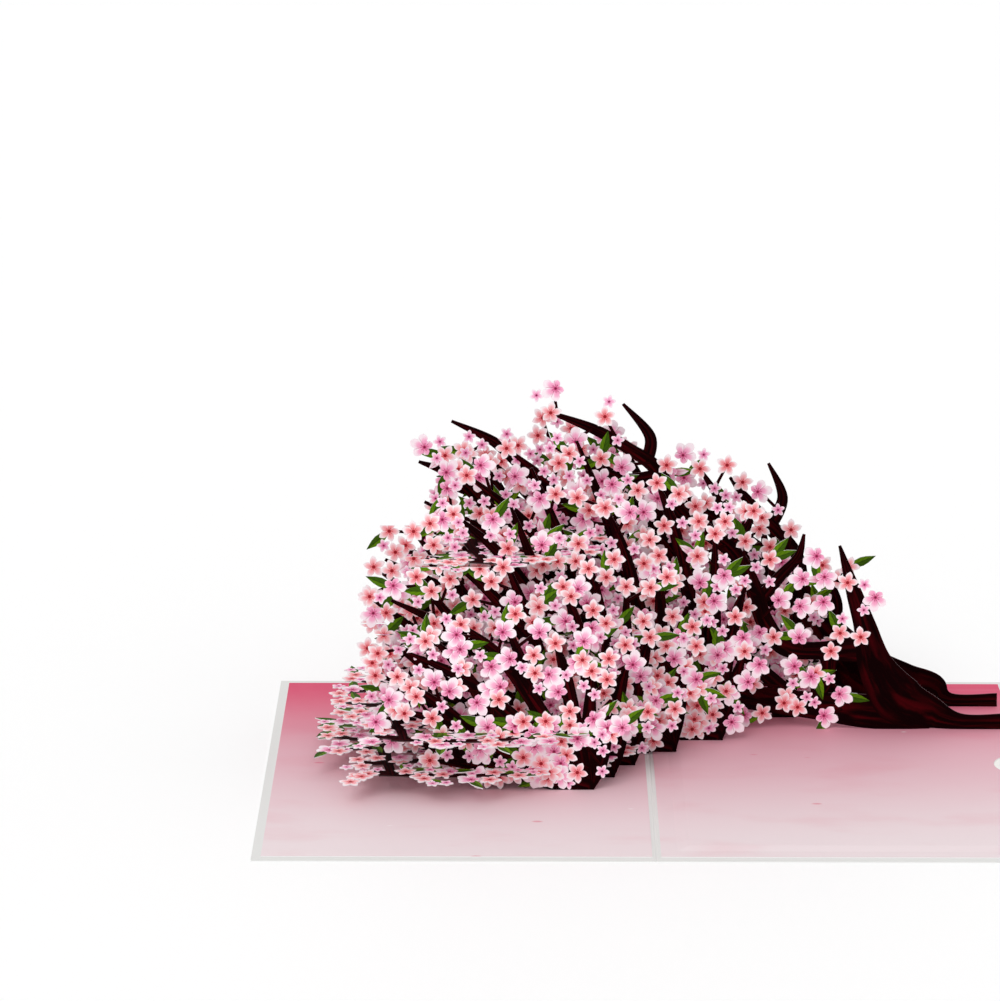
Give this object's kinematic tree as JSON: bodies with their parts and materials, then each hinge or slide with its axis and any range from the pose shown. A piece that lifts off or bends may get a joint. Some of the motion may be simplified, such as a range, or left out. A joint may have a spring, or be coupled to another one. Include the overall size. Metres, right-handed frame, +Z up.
{
  "type": "pop up card",
  "caption": "Open greeting card with a blossom tree of crossed die cut paper slices standing over both panels and a folded note in a pocket.",
  "frame": {"origin": "on the spine, under the middle of the open card", "axes": "+X from the spine over the right panel, +Y away from the reader along the spine, +Z up"},
  "size_m": [0.254, 0.1778, 0.124],
  "materials": {
    "card_stock": "matt white card",
    "liner_print": "matt paper printed pink, paler towards the reader",
    "note_stock": "matt white card",
    "blossom_print": "matt paper printed with blossoms, leaves and dark limbs"
  },
  "bodies": {
    "root": {"outer_card": "card_stock", "left_liner": "liner_print", "right_liner": "liner_print", "note_card": "note_stock", "first_blossom_slice": "blossom_print", "second_blossom_slice": "blossom_print", "third_blossom_slice": "blossom_print", "fourth_blossom_slice": "blossom_print", "fifth_blossom_slice": "blossom_print", "front_trunk_slice": "blossom_print", "inner_blossom_slice": "blossom_print", "rear_trunk_slice": "blossom_print", "lowest_level_slice": "blossom_print", "second_level_slice": "blossom_print", "third_level_slice": "blossom_print", "top_level_slice": "blossom_print"}
  },
  "joints": []
}
